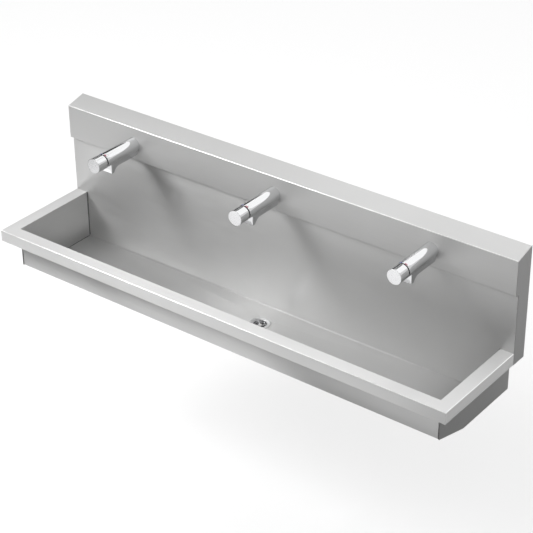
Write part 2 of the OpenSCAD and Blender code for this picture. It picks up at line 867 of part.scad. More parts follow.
bowl();
left_end_plate();
right_end_plate();
front_rim();
left_rim();
right_rim();
splash_panel();
header_cover();
left_cheek();
right_cheek();
header_rail();
cover_screws();
top_rail();
left_wall_bracket();
right_wall_bracket();
sound_pads();
waste_body();
waste_gasket();
waste_washer();
waste_nut();
waste_strainer();
waste_screw();
hot_manifold();
cold_manifold();
pipe_clips();
hot_stop_valve();
cold_stop_valve();
hot_stop_key();
cold_stop_key();
hot_supply_tail();
cold_supply_tail();
tap_plates();
tap_gaskets();
tap_nuts();
hot_marks();
cold_marks();
flow_straighteners();
on_header(-tap_pitch) tap_body();  // left_tap_body
on_header(-tap_pitch) tap_cartridge();  // left_tap_cartridge
on_header(-tap_pitch) tap_sleeve();  // left_tap_sleeve
on_header(-tap_pitch) tap_spring();  // left_tap_spring
on_header(-tap_pitch) tap_button();  // left_tap_button
hot_feed(-tap_pitch);  // left_tap_hot_feed
cold_feed(-tap_pitch);  // left_tap_cold_feed
on_header(0) tap_body();  // middle_tap_body
on_header(0) tap_cartridge();  // middle_tap_cartridge
on_header(0) tap_sleeve();  // middle_tap_sleeve
on_header(0) tap_spring();  // middle_tap_spring
on_header(0) tap_button();  // middle_tap_button
hot_feed(0);  // middle_tap_hot_feed
cold_feed(0);  // middle_tap_cold_feed
on_header(tap_pitch) tap_body();  // right_tap_body
on_header(tap_pitch) tap_cartridge();  // right_tap_cartridge
on_header(tap_pitch) tap_sleeve();  // right_tap_sleeve
on_header(tap_pitch) tap_spring();  // right_tap_spring
on_header(tap_pitch) tap_button();  // right_tap_button
hot_feed(tap_pitch);  // right_tap_hot_feed
cold_feed(tap_pitch);  // right_tap_cold_feed
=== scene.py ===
import json
import math

import bmesh
import bpy
from mathutils import Matrix, Vector


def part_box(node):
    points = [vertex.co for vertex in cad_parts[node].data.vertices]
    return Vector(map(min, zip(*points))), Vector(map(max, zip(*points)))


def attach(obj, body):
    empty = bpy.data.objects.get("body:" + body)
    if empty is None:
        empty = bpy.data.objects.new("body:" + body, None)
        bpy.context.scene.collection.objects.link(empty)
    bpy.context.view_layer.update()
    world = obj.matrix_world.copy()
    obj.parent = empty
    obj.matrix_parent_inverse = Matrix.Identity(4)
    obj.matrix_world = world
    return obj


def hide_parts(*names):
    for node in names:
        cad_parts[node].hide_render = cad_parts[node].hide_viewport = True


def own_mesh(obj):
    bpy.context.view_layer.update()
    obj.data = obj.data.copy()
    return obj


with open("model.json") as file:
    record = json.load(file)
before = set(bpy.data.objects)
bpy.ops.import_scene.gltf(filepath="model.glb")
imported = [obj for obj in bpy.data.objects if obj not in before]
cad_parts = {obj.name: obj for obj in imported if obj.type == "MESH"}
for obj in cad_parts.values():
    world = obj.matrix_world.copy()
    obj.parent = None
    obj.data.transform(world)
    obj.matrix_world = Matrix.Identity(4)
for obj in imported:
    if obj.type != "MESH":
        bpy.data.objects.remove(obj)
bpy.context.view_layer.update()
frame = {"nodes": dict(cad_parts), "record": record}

MM = 0.001
BODY = "sink"

# Sizes of the folded sheet, the same as the part's
SHEET = 1.5 * MM
BEND = 3.0 * MM
ARC_STEPS = 6
SMOOTH_DEG = 35

# Places read from the frame, and sizes that its boxes don't give
RIM_LOW, RIM_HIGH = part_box("front_rim")
HALF_W = RIM_HIGH[0]
FRONT_Y = RIM_LOW[1]
RIM_DROP = -RIM_LOW[2]
RIM_W = RIM_HIGH[1] - FRONT_Y
RIM_LIP = 14 * MM
SPLASH_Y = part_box("splash_panel")[0][1]
HEADER_LOW, HEADER_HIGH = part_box("header_cover")
HEADER_Y = HEADER_LOW[1]
HEADER_BOTTOM = HEADER_LOW[2]
HEADER_BACK_TOP = HEADER_HIGH[2]
HEADER_RISE = 19.5 * MM
HEADER_TOP = HEADER_BACK_TOP - HEADER_RISE
COVER_BACK = 25 * MM
INNER_X = HALF_W - RIM_W
INNER_Y = FRONT_Y + RIM_W
WALL_H = 142 * MM
FLOOR_Z = -180 * MM
FOLD_Y = FRONT_Y + 185 * MM
COVE = 5 * MM
LANDING_Z = FLOOR_Z - 6 * MM
LANDING_HALF = 39 * MM
WASTE_LOW, WASTE_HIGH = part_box("waste_body")
WASTE_Y = (WASTE_LOW[1] + WASTE_HIGH[1]) / 2
WASTE_TAIL_R = 23.9 * MM

TAP_NAMES = ("left", "middle", "right")
TAP_R = 26 * MM
TAP_BODY_L = 156 * MM
SHANK_R = 17 * MM

NODE_SLOTS = {row["node"]: row["material_slot"] for row in frame["record"]["subparts"]}


def tap_centre(side):
    """Centre of a tap's axis on the header face."""
    low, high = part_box(f"{side}_tap_button")
    return Vector(((low[0] + high[0]) / 2, HEADER_Y, (low[2] + high[2]) / 2))


def linked(name, data):
    """A new object in the scene."""
    made = bpy.data.objects.new(name, data)
    bpy.context.scene.collection.objects.link(made)
    return made


# Shaders


def node_material(name, metallic, roughness, color):
    """A new node material with its shader and tree."""
    material = bpy.data.materials.new(name)
    material.use_nodes = True
    shader = material.node_tree.nodes["Principled BSDF"]
    shader.inputs["Metallic"].default_value = metallic
    shader.inputs["Roughness"].default_value = roughness
    shader.inputs["Base Color"].default_value = (*color, 1)
    return material, shader, material.node_tree


def stretched_noise(tree, scale, detail=4.0):
    """Noise in the part's own frame, stretched by a scale along each axis."""
    coords = tree.nodes.new("ShaderNodeTexCoord")
    mapping = tree.nodes.new("ShaderNodeMapping")
    noise = tree.nodes.new("ShaderNodeTexNoise")
    mapping.inputs["Scale"].default_value = scale
    noise.inputs["Scale"].default_value = 1.0
    noise.inputs["Detail"].default_value = detail
    tree.links.new(coords.outputs["Object"], mapping.inputs["Vector"])
    tree.links.new(mapping.outputs["Vector"], noise.inputs["Vector"])
    return noise.outputs["Fac"]


def spread(tree, value, low, high, start=0.3, end=0.7):
    """Maps a noise value onto a range."""
    node = tree.nodes.new("ShaderNodeMapRange")
    node.inputs["From Min"].default_value = start
    node.inputs["From Max"].default_value = end
    node.inputs["To Min"].default_value = low
    node.inputs["To Max"].default_value = high
    tree.links.new(value, node.inputs["Value"])
    return node.outputs["Result"]


def tint(tree, value, dark, light):
    """Colour between two by a value."""
    mix = tree.nodes.new("ShaderNodeMix")
    mix.data_type = "RGBA"
    mix.inputs["A"].default_value = (*dark, 1)
    mix.inputs["B"].default_value = (*light, 1)
    tree.links.new(value, mix.inputs["Factor"])
    return mix.outputs["Result"]


def bump(tree, shader, value, strength, distance):
    """Faint relief from a noise value."""
    node = tree.nodes.new("ShaderNodeBump")
    node.inputs["Strength"].default_value = strength
    node.inputs["Distance"].default_value = distance
    tree.links.new(value, node.inputs["Height"])
    tree.links.new(node.outputs["Normal"], shader.inputs["Normal"])


def along_grain(tree, shader, grain, stretch):
    """Stretches highlights across the grain; the grain is the axis with the smallest noise scale."""
    axis = tree.nodes.new("ShaderNodeCombineXYZ")
    turn = tree.nodes.new("ShaderNodeVectorTransform")
    turn.vector_type = "VECTOR"
    turn.convert_from, turn.convert_to = "OBJECT", "WORLD"
    axis.inputs[grain.index(min(grain))].default_value = 1.0
    tree.links.new(axis.outputs[0], turn.inputs[0])
    tree.links.new(turn.outputs[0], shader.inputs["Tangent"])
    shader.inputs["Anisotropic"].default_value = stretch
    shader.inputs["Anisotropic Rotation"].default_value = 0.25


def satin_steel(name, grain, light=0.72, roughness=0.42, contrast=0.03, stretch=0.9, metallic=0.95):
    """Brushed stainless: fine streaks along the grain, soft clouds in tone and a faint bump."""
    level = (light, light, light * 0.995)
    material, shader, tree = node_material(name, metallic, roughness, level)
    streaks = stretched_noise(tree, grain, 3.0)
    clouds = stretched_noise(tree, (2.3, 3.1, 3.1), 2.0)
    dark = tuple(c * (1 - contrast) for c in level)
    bright = tuple(min(1, c * (1 + contrast)) for c in level)
    mixed = tree.nodes.new("ShaderNodeMath")
    mixed.operation = "MULTIPLY_ADD"
    mixed.inputs[1].default_value = 0.45
    tree.links.new(streaks, mixed.inputs[0])
    tree.links.new(clouds, mixed.inputs[2])
    tone = spread(tree, mixed.outputs[0], 0, 1, 0.5, 0.95)
    tree.links.new(tint(tree, tone, dark, bright), shader.inputs["Base Color"])
    tree.links.new(spread(tree, streaks, roughness - 0.05, roughness + 0.06), shader.inputs["Roughness"])
    bump(tree, shader, streaks, 0.06, 0.0002)
    along_grain(tree, shader, grain, stretch)
    return material


def chrome(name, roughness=0.05, light=0.86):
    """Polished chrome with the faint haze of handling."""
    material, shader, tree = node_material(name, 1.0, roughness, (light * 0.985, light * 0.99, light))
    haze = stretched_noise(tree, (90, 90, 90), 3.0)
    tree.links.new(spread(tree, haze, roughness * 0.7, roughness * 1.6), shader.inputs["Roughness"])
    return material


def satin_face(name):
    """Fine turned finish on the face of a button."""
    material, shader, tree = node_material(name, 1.0, 0.28, (0.76, 0.76, 0.77))
    grain = stretched_noise(tree, (900, 60, 900), 2.0)
    tree.links.new(spread(tree, grain, 0.24, 0.34), shader.inputs["Roughness"])
    bump(tree, shader, grain, 0.05, 0.0001)
    return material


def plastic(name, color, roughness, scale=400, mottle=0.12):
    """Moulded plastic or rubber with a fine texture."""
    material, shader, tree = node_material(name, 0.0, roughness, color)
    grain = stretched_noise(tree, (scale, scale, scale), 3.0)
    dark = tuple(c * (1 - mottle) for c in color)
    bright = tuple(min(1, c * (1 + mottle)) for c in color)
    tree.links.new(tint(tree, spread(tree, grain, 0, 1), dark, bright), shader.inputs["Base Color"])
    tree.links.new(spread(tree, grain, roughness - 0.06, roughness + 0.08), shader.inputs["Roughness"])
    bump(tree, shader, grain, 0.12, 0.0002)
    return material


def worn_metal(name, color, roughness, tarnish):
    """Copper or brass with darker tarnish in soft clouds."""
    material, shader, tree = node_material(name, 1.0, roughness, color)
    clouds = stretched_noise(tree, (38, 38, 38), 5.0)
    dark = tuple(c * (1 - tarnish) for c in color)
    tree.links.new(tint(tree, spread(tree, clouds, 0, 1), dark, color), shader.inputs["Base Color"])
    tree.links.new(spread(tree, clouds, roughness + 0.12, roughness), shader.inputs["Roughness"])
    return material


ALONG_X = (6, 900, 900)
ALONG_Y = (900, 6, 900)
ALONG_Z = (900, 900, 6)

STEEL = satin_steel("satin_steel", ALONG_X, 0.66)
# Copies of the rim's one sheet of steel in different tones by facing, painted light and shade: top lighter,
# sides lightest, front darker
RIM_TOP_PAINTED_LIGHT = satin_steel("rim_top_painted_light", ALONG_X, 0.75, 0.55, stretch=0.74, metallic=0.62)
FASCIA_PAINTED_SHADE = satin_steel("fascia_painted_shade", ALONG_X, 0.7, 0.5, metallic=0.9)
# Near-black steel for the weld seams: painted shade of the inner corners on real weld fillets
WELD_PAINTED_SHADE = satin_steel("weld_painted_crease_shade", ALONG_X, 0.13, 0.5, 0.08, 0.2)
RIM_SIDE_PAINTED_LIGHT = satin_steel("rim_side_painted_light", ALONG_Y, 0.78, 0.5, stretch=0.7)
# Bends: partly real, a smoother finish on the bend radius, and partly a painted highlight, a base much
# brighter than the flat sheet
BEND_PAINTED_HIGHLIGHT = satin_steel("bend_painted_highlight", ALONG_X, 0.95, 0.32, 0.02, 0.3, 1.0)
STEEL_UPRIGHT = satin_steel("satin_steel_upright", ALONG_Z, 0.65, metallic=1.0)
HEADER_STEEL = satin_steel("header_steel", ALONG_X, 0.66, 0.6, stretch=0.2)
BOWL_STEEL = satin_steel("bowl_steel", ALONG_X, 0.66, 0.54, stretch=0.45, metallic=0.78)
BRACKET_STEEL = satin_steel("bracket_steel", ALONG_Z, 0.55, 0.42, 0.08)
CHROME = chrome("tap_chrome", light=0.63)
BUTTON_FACE = satin_face("button_face")
DARK_PLASTIC = plastic("sleeve_plastic", (0.012, 0.012, 0.014), 0.38)
HOT = plastic("hot_paint", (0.38, 0.12, 0.16), 0.35)
COLD = plastic("cold_paint", (0.13, 0.15, 0.34), 0.35)
POINTER_WHITE = plastic("pointer_white", (0.62, 0.63, 0.63), 0.35)
WASTE_STEEL = chrome("waste_steel", 0.16, 0.62)
BRASS = worn_metal("brass", (0.72, 0.50, 0.22), 0.28, 0.35)
COPPER = worn_metal("copper", (0.80, 0.36, 0.20), 0.26, 0.45)
RUBBER = plastic("rubber", (0.018, 0.018, 0.018), 0.7)
PAD = plastic("damping_pad", (0.03, 0.03, 0.032), 0.85, 150, 0.3)
SPRING_STEEL = satin_steel("spring_steel", ALONG_Y, 0.55, 0.3)
SCREW_STEEL = satin_steel("screw_steel", ALONG_Y, 0.62, 0.25)
GREY_PLASTIC = plastic("grey_plastic", (0.12, 0.12, 0.125), 0.5)
RED_LEVER = plastic("hot_lever", (0.50, 0.02, 0.02), 0.4)
BLUE_LEVER = plastic("cold_lever", (0.02, 0.05, 0.45), 0.4)

SLOT_MATERIALS = {
    "satin_steel": STEEL, "header_steel": HEADER_STEEL, "bracket_steel": BRACKET_STEEL,
    "tap_chrome": CHROME, "button_chrome": CHROME, "sleeve_plastic": DARK_PLASTIC,
    "hot_paint": HOT, "cold_paint": COLD, "waste_steel": WASTE_STEEL, "brass": BRASS,
    "copper": COPPER, "rubber": RUBBER, "pad": PAD, "spring_steel": SPRING_STEEL,
    "screw_steel": SCREW_STEEL, "grey_plastic": GREY_PLASTIC,
    "hot_lever": RED_LEVER, "cold_lever": BLUE_LEVER,
}


def dress_nodes():
    """Gives each CAD node the material of its slot."""
    for name, node in frame["nodes"].items():
        node.data.materials.clear()
        node.data.materials.append(SLOT_MATERIALS[NODE_SLOTS[name]])
    for name in ("left_end_plate", "right_end_plate", "left_cheek", "right_cheek"):
        frame["nodes"][name].data.materials[0] = STEEL_UPRIGHT


# Mesh helpers


def make_piece(name, verts, faces, material, body=BODY, replaces=(), smooth_deg=SMOOTH_DEG,
               others=()):
    """A mesh piece, shaded smooth below an angle; others are pairs of a material and its faces."""
    mesh = bpy.data.meshes.new(name)
    mesh.from_pydata([tuple(v) for v in verts], [], faces)
    mesh.materials.append(material)
    for slot_index, (other, its_faces) in enumerate(others, 1):
        mesh.materials.append(other)
        for i in its_faces:
            mesh.polygons[i].material_index = slot_index
    piece = linked(name, mesh)
    tidy_mesh(mesh, smooth_deg)
    finish_piece(piece, body, replaces)
    return piece


def tidy_mesh(mesh, smooth_deg):
    """Welds double points, turns the normals outwards and marks sharp edges."""
    work = bmesh.new()
    work.from_mesh(mesh)
    bmesh.ops.remove_doubles(work, verts=work.verts, dist=1e-6)
    bmesh.ops.recalc_face_normals(work, faces=work.faces)
    work.to_mesh(mesh)
    work.free()
    mesh.shade_smooth()
    mesh.set_sharp_from_angle(angle=math.radians(smooth_deg))


def finish_piece(piece, body, replaces):
    """Puts a piece on its body and hides the parts it replaces."""
    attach(piece, body)
    if replaces:
        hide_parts(*replaces)


def faces_facing(verts, faces, test):
    """Numbers of the faces whose unsigned normal passes a test."""
    found = []
    for i, face in enumerate(faces):
        a, b, c = (Vector(verts[face[k]]) for k in (0, 1, 2))
        normal = (b - a).cross(c - b)
        if normal.length > 0 and test(Vector(abs(part) for part in normal.normalized())):
            found.append(i)
    return found


def bevel(piece, width, segments=3, angle=40):
    """Rounds the piece's sharp edges."""
    rounding = piece.modifiers.new("rounding", "BEVEL")
    rounding.width = width
    rounding.segments = segments
    rounding.limit_method = "ANGLE"
    rounding.angle_limit = math.radians(angle)
    rounding.harden_normals = True
    return piece


def shifted_lines(points, offset):
    """The same polyline moved sideways by an offset, to the left of its direction."""
    lines = []
    for a, b in zip(points, points[1:]):
        along = (b - a).normalized()
        side = Vector((-along.y, along.x)) * offset
        lines.append((a + side, b + side, along))
    out = [lines[0][0]]
    for (a0, _, d0), (a1, _, d1) in zip(lines, lines[1:]):
        cross = d0.x * d1.y - d0.y * d1.x
        reach = ((a1.x - a0.x) * d1.y - (a1.y - a0.y) * d1.x) / cross
        out.append(a0 + d0 * reach)
    out.append(lines[-1][1])
    return out


def folded_outline(outer, side):
    """Closed outline of a bent sheet from its outside polyline; it thickens to the left (1) or right (-1)."""
    mid = shifted_lines([Vector(p) for p in outer], side * SHEET / 2)
    path = [(mid[0], (mid[1] - mid[0]).normalized())]
    for a, b, c in zip(mid, mid[1:], mid[2:]):
        d0, d1 = (b - a).normalized(), (c - b).normalized()
        turn = math.atan2(d0.x * d1.y - d0.y * d1.x, d0.dot(d1))
        radius = BEND - SHEET / 2
        back = radius * math.tan(abs(turn) / 2)
        centre = b - d0 * back + Vector((-d0.y, d0.x)) * math.copysign(radius, turn)
        for i in range(ARC_STEPS + 1):
            now = d0.copy()
            now.rotate(Matrix.Rotation(turn * i / ARC_STEPS, 2))
            path.append((centre - Vector((-now.y, now.x)) * math.copysign(radius, turn), now))
    path.append((mid[-1], (mid[-1] - mid[-2]).normalized()))
    left = [p + Vector((-d.y, d.x)) * SHEET / 2 for p, d in path]
    right = [p - Vector((-d.y, d.x)) * SHEET / 2 for p, d in path]
    return left + right[::-1]


def loft(rings, ends=True):
    """Faces through rings of equal length, with the ends closed if asked."""
    verts = [v for ring in rings for v in ring]
    n = len(rings[0])
    faces = []
    for r in range(len(rings) - 1):
        for i in range(n):
            j = (i + 1) % n
            faces.append((r * n + i, r * n + j, (r + 1) * n + j, (r + 1) * n + i))
    if ends:
        faces.append(tuple(range(n - 1, -1, -1)))
        faces.append(tuple((len(rings) - 1) * n + i for i in range(n)))
    return verts, faces


# Rim

# Shares of a face's unit normal along an axis: least on a fold, least on a flat face, and most on the fold
# under the header's sloping top
FOLD_FROM = 0.08
FLAT = 0.99
HEADER_TOP_SHARE = 0.965
RIM_EDGE = 0.5 * MM
RIM_EDGE_DEG = 50


def rim_frame():
    """Rim and fascia round three sides, mitred at the front corners; its top, sides and front take copies of
    one steel in different tones, painted light and shade by how each face is turned.
    """
    outline = folded_outline([(RIM_W, 0), (0, 0), (0, -RIM_DROP), (RIM_LIP, -RIM_DROP)], 1)
    rings = []
    for side in (-1, 1):
        back = [(side * (HALF_W - u), SPLASH_Y, v) for u, v in outline]
        corner = [(side * (HALF_W - u), FRONT_Y + u, v) for u, v in outline]
        rings += [back, corner] if side < 0 else [corner, back]
    verts, faces = loft(rings)
    # Faces of the one sheet get differently toned copies of its steel by facing: painted light and shade
    bends = [i for i in faces_facing(verts, faces[:-2], lambda n: FOLD_FROM < n.z < FLAT)
             if verts[faces[i][0]][2] > -RIM_DROP / 2]
    sides = faces_facing(verts, faces[:-2], lambda n: n.x > FLAT)
    fronts = faces_facing(verts, faces[:-2], lambda n: n.y > FLAT)
    piece = make_piece("rim_frame", verts, faces, RIM_TOP_PAINTED_LIGHT, replaces=("front_rim", "left_rim", "right_rim"),
                       others=((BEND_PAINTED_HIGHLIGHT, bends), (RIM_SIDE_PAINTED_LIGHT, sides), (FASCIA_PAINTED_SHADE, fronts)))
    return bevel(piece, RIM_EDGE, 2, RIM_EDGE_DEG)


# Header


def header_cover():
    """Folded cover of the header: lower fold, face, sloping top and back fold."""
    back_low = HEADER_BACK_TOP - COVER_BACK
    outline = folded_outline([
        (SPLASH_Y, HEADER_BOTTOM), (HEADER_Y, HEADER_BOTTOM), (HEADER_Y, HEADER_TOP),
        (0, HEADER_BACK_TOP), (0, back_low)
    ], -1)
    rings = [[(x, y, z) for y, z in outline] for x in (-HALF_W + SHEET, HALF_W - SHEET)]
    verts, faces = loft(rings)
    # The cover's upper bends take the brighter bend steel: a painted highlight line
    bends = [i for i in faces_facing(verts, faces[:-2], lambda n: FOLD_FROM < n.z < HEADER_TOP_SHARE)
             if verts[faces[i][0]][2] > HEADER_TOP - 2 * BEND]
    return make_piece("header_cover_folded", verts, faces, HEADER_STEEL, replaces=("header_cover",),
                      others=((BEND_PAINTED_HIGHLIGHT, bends),))


# Bowl

FLOOR_AHEAD = 40 * MM
HOLE_GAP = 0.6 * MM
HOLE_STEPS = 64
BOWL_SMOOTH_DEG = 20
WELD = 3 * MM
WELD_BELLY = 0.3
WELD_CLEAR = 0.5 * MM
BACK_WELD_REACH = 1.6
BACK_WELD_BELLY = 0.5
WELD_SMOOTH_DEG = 60


def square_point(angle, half):
    """Point of a square's edge in the direction of an angle."""
    c, s = math.cos(angle), math.sin(angle)
    reach = half / max(abs(c), abs(s))
    return c * reach, s * reach


def bowl_shell():
    """Front wall, sloping front and floor as one bent sheet with a falling floor and the waste's hole."""
    wall = [Vector(p) for p in ((INNER_Y, -SHEET), (INNER_Y, -WALL_H), (FOLD_Y, FLOOR_Z),
                                (FOLD_Y + FLOOR_AHEAD, FLOOR_Z))]
    path = [wall[0]]
    for a, b, c in zip(wall, wall[1:], wall[2:]):
        d0, d1 = (b - a).normalized(), (c - b).normalized()
        turn = math.atan2(d0.x * d1.y - d0.y * d1.x, d0.dot(d1))
        back = BEND * math.tan(abs(turn) / 2)
        centre = b - d0 * back + Vector((-d0.y, d0.x)) * BEND
        for i in range(ARC_STEPS + 1):
            now = d0.copy()
            now.rotate(Matrix.Rotation(turn * i / ARC_STEPS, 2))
            path.append(centre - Vector((-now.y, now.x)) * BEND)
    verts, faces = [], []
    for y, z in path:
        verts += [(-INNER_X, y, z), (INNER_X, y, z)]
    for i in range(len(path) - 1):
        faces.append((2 * i, 2 * i + 1, 2 * i + 3, 2 * i + 2))
    front = 2 * (len(path) - 1)
    back = len(verts)
    for i in range(ARC_STEPS + 1):
        a = math.pi / 2 * i / ARC_STEPS
        y, z = SPLASH_Y - COVE * (1 - math.sin(a)), FLOOR_Z + COVE * (1 - math.cos(a))
        verts += [(-INNER_X, y, z), (INNER_X, y, z)]
        if i:
            faces.append((back + 2 * i - 2, back + 2 * i - 1, back + 2 * i + 1, back + 2 * i))
    land, hole = len(verts), len(verts) + HOLE_STEPS
    angles = [math.pi / 4 + 2 * math.pi * i / HOLE_STEPS for i in range(HOLE_STEPS)]
    verts += [(x, WASTE_Y + y, LANDING_Z) for x, y in (square_point(a, LANDING_HALF) for a in angles)]
    hole_r = WASTE_TAIL_R + HOLE_GAP
    verts += [(hole_r * math.cos(a), WASTE_Y + hole_r * math.sin(a), LANDING_Z) for a in angles]
    for i in range(HOLE_STEPS):
        j = (i + 1) % HOLE_STEPS
        faces.append((land + i, land + j, hole + j, hole + i))
    quarter = HOLE_STEPS // 4
    corners = [back + 1, back, front, front + 1]
    for k in range(4):
        run = [land + (k * quarter + i) % HOLE_STEPS for i in range(quarter + 1)]
        faces.append(tuple([corners[k], corners[(k + 1) % 4]] + run[::-1]))
    piece = make_piece("bowl_shell", verts, faces, BOWL_STEEL, replaces=("bowl",),
                       smooth_deg=BOWL_SMOOTH_DEG)
    sheet = piece.modifiers.new("sheet", "SOLIDIFY")
    sheet.thickness = SHEET
    sheet.offset = -1
    sheet.use_even_offset = True
    return piece


def corner_welds_painted_shade():
    """Small concave seams where the end plates meet the bowl and the splash, and along the splash's foot, in
    a near-black steel: real weld fillets with painted shade of the inner corners.
    """
    route = [(INNER_Y, -SHEET - WELD_CLEAR), (INNER_Y, -WALL_H), (FOLD_Y, FLOOR_Z), (SPLASH_Y, FLOOR_Z),
             (SPLASH_Y, -WELD_CLEAR)]
    inner = shifted_lines([Vector(p) for p in route], WELD)
    middle = shifted_lines([Vector(p) for p in route], WELD * WELD_BELLY)
    parts = []
    for side in (-1, 1):
        rings = []
        for foot, near, far in zip(route, middle, inner):
            rings.append([(side * INNER_X, foot[0], foot[1]), (side * INNER_X, far.x, far.y),
                          (side * (INNER_X - WELD * WELD_BELLY), near.x, near.y),
                          (side * (INNER_X - WELD), foot[0], foot[1])])
        parts.append(loft(rings))
    back = [(SPLASH_Y, FLOOR_Z), (SPLASH_Y, FLOOR_Z + BACK_WELD_REACH * WELD),
            (SPLASH_Y - BACK_WELD_BELLY * WELD, FLOOR_Z + BACK_WELD_BELLY * WELD),
            (SPLASH_Y - BACK_WELD_REACH * WELD, FLOOR_Z)]
    parts.append(loft([[(x, y, z) for y, z in back] for x in (-INNER_X, INNER_X)]))
    verts, faces = joined(parts)
    make_piece("corner_welds_painted_shade", verts, faces, WELD_PAINTED_SHADE, smooth_deg=WELD_SMOOTH_DEG)


# Taps

RIB_HALF = 22 * MM
RIB_DROP = 30 * MM
SPOUT_DROP = 48.5 * MM
RIB_BACK = 8 * MM
SPOUT_FRONT = 140 * MM
SPOUT_BACK = 128 * MM
SPOUT_CURVE = 30.8 * MM
FILLET = 1.5 * MM
CORNER = 2.0 * MM
EDGE = 1.0 * MM
LIP = 1.9 * MM
SHANK_L = 25 * MM
BORE_R = 21 * MM
MOUTH_HALF = 15.05 * MM
MOUTH_BACK = 129.95 * MM
MOUTH_FRONT = 138.05 * MM
MOUTH_DEPTH = 7 * MM
TOP_STEPS = 96
FILLET_STEPS = 4
CORNER_STEPS = 5
SHANK_CHAMFER = 1 * MM
THREAD_START = 2 * MM
THREAD_PITCH = 1.5 * MM
THREAD_DEPTH = 0.7 * MM
THREAD_TURNS = 12
THREAD_END = -3 * MM
ROOT_EDGE = 0.4 * MM
RIB_ROUND = 6 * MM
RIB_STATIONS = (0, 0.15, 0.5, 1.0, 2.0, 3.5, 6.0)
SPOUT_STEPS = 16
LIP_STEPS = 8
FRONT_EDGE = 0.8 * MM
BORE_EDGE = 0.4 * MM
BORE_END = 133 * MM

FILLET_Z = -math.sqrt((TAP_R + FILLET) ** 2 - (RIB_HALF + FILLET) ** 2)
TOUCH = math.atan2(FILLET_Z, RIB_HALF + FILLET)


def arc(cx, cz, radius, start, end, steps):
    """Points of an arc in X and Z, both ends included, angles in radians."""
    return [(cx + radius * math.cos(start + (end - start) * i / steps),
             cz + radius * math.sin(start + (end - start) * i / steps)) for i in range(steps + 1)]


def rib_ring(depth, inset, lift=0):
    """Section of the barrel and its rib, from the right fillet over the top and back under the rib."""
    w, d = RIB_HALF - inset, depth - max(inset, lift)
    top = arc(0, 0, TAP_R, TOUCH, math.pi - TOUCH, TOP_STEPS)
    left = arc(-(RIB_HALF + FILLET), FILLET_Z, FILLET + inset, -TOUCH, 0, FILLET_STEPS)[1:]
    left_corner = arc(-w + CORNER, -d + CORNER, CORNER, math.pi, 1.5 * math.pi, CORNER_STEPS)
    under = [(-MOUTH_HALF, -d), (MOUTH_HALF, -d)]
    right_corner = arc(w - CORNER, -d + CORNER, CORNER, 1.5 * math.pi, 2 * math.pi, CORNER_STEPS)
    right = arc(RIB_HALF + FILLET, FILLET_Z, FILLET + inset, math.pi, math.pi + TOUCH, FILLET_STEPS)[:-1]
    return top + left + left_corner + under + right_corner + right


RING_ANGLES = [math.atan2(z, x) for x, z in rib_ring(SPOUT_DROP, 0)]
# Where a ring's line under the rib starts
UNDER = TOP_STEPS + 1 + FILLET_STEPS + CORNER_STEPS + 1


def round_ring(radius):
    """Round section with its points at the same angles as the rib's."""
    return [(radius * math.cos(a), radius * math.sin(a)) for a in RING_ANGLES]


def edge_steps(size, steps=5):
    """Distances along and in for a rounded edge, from where it starts to where it ends."""
    return [(size * math.sin(math.pi / 2 * i / steps), size * (1 - math.cos(math.pi / 2 * i / steps)))
            for i in range(steps + 1)]


def tap_stations():
    """Rings of a tap's body from the shank to the bore, each a distance out from the header and a section."""
    rings = [(-SHANK_L, round_ring(SHANK_R - SHANK_CHAMFER)), (-SHANK_L + SHANK_CHAMFER, round_ring(SHANK_R))]
    for i in range(THREAD_TURNS):
        start = -SHANK_L + THREAD_START + i * THREAD_PITCH
        rings.append((start, round_ring(SHANK_R)))
        rings.append((start + THREAD_PITCH / 2, round_ring(SHANK_R - THREAD_DEPTH)))
    for out, radius in ((THREAD_END, SHANK_R), (0, SHANK_R), (0, TAP_R - ROOT_EDGE), (ROOT_EDGE, TAP_R),
                        (RIB_BACK, TAP_R)):
        rings.append((out, round_ring(radius)))
    for along in RIB_STATIONS:
        out = along * MM
        inset = EDGE - math.sqrt(max(0, EDGE ** 2 - max(0, EDGE - out) ** 2))
        drop = RIB_DROP - RIB_ROUND + math.sqrt(RIB_ROUND ** 2 - (RIB_ROUND - out) ** 2)
        rings.append((RIB_BACK + out, rib_ring(drop, inset)))
    rise = SPOUT_DROP - RIB_DROP
    reach = math.sqrt(SPOUT_CURVE ** 2 - (SPOUT_CURVE - rise) ** 2)
    end = math.asin(reach / SPOUT_CURVE)
    for i in range(SPOUT_STEPS + 1):
        a = end * i / SPOUT_STEPS
        rings.append((SPOUT_BACK - reach + SPOUT_CURVE * math.sin(a),
                      rib_ring(RIB_DROP + SPOUT_CURVE * (1 - math.cos(a)), 0)))
    for out in (MOUTH_BACK, MOUTH_FRONT):
        rings.append((out, rib_ring(SPOUT_DROP, 0)))
    for along, lift in edge_steps(LIP, LIP_STEPS):
        inward = EDGE - math.sqrt(EDGE ** 2 - max(0, EDGE - LIP + along) ** 2)
        rings.append((SPOUT_FRONT - LIP + along, rib_ring(SPOUT_DROP, inward, lift)))
    rings.append((SPOUT_FRONT, round_ring(TAP_R)))
    for along, inward in edge_steps(FRONT_EDGE):
        rings.append((TAP_BODY_L - FRONT_EDGE + along, round_ring(TAP_R - inward)))
    rings.append((TAP_BODY_L, round_ring(BORE_R + BORE_EDGE)))
    rings.append((TAP_BODY_L - BORE_EDGE, round_ring(BORE_R)))
    rings.append((BORE_END, round_ring(BORE_R)))
    return rings


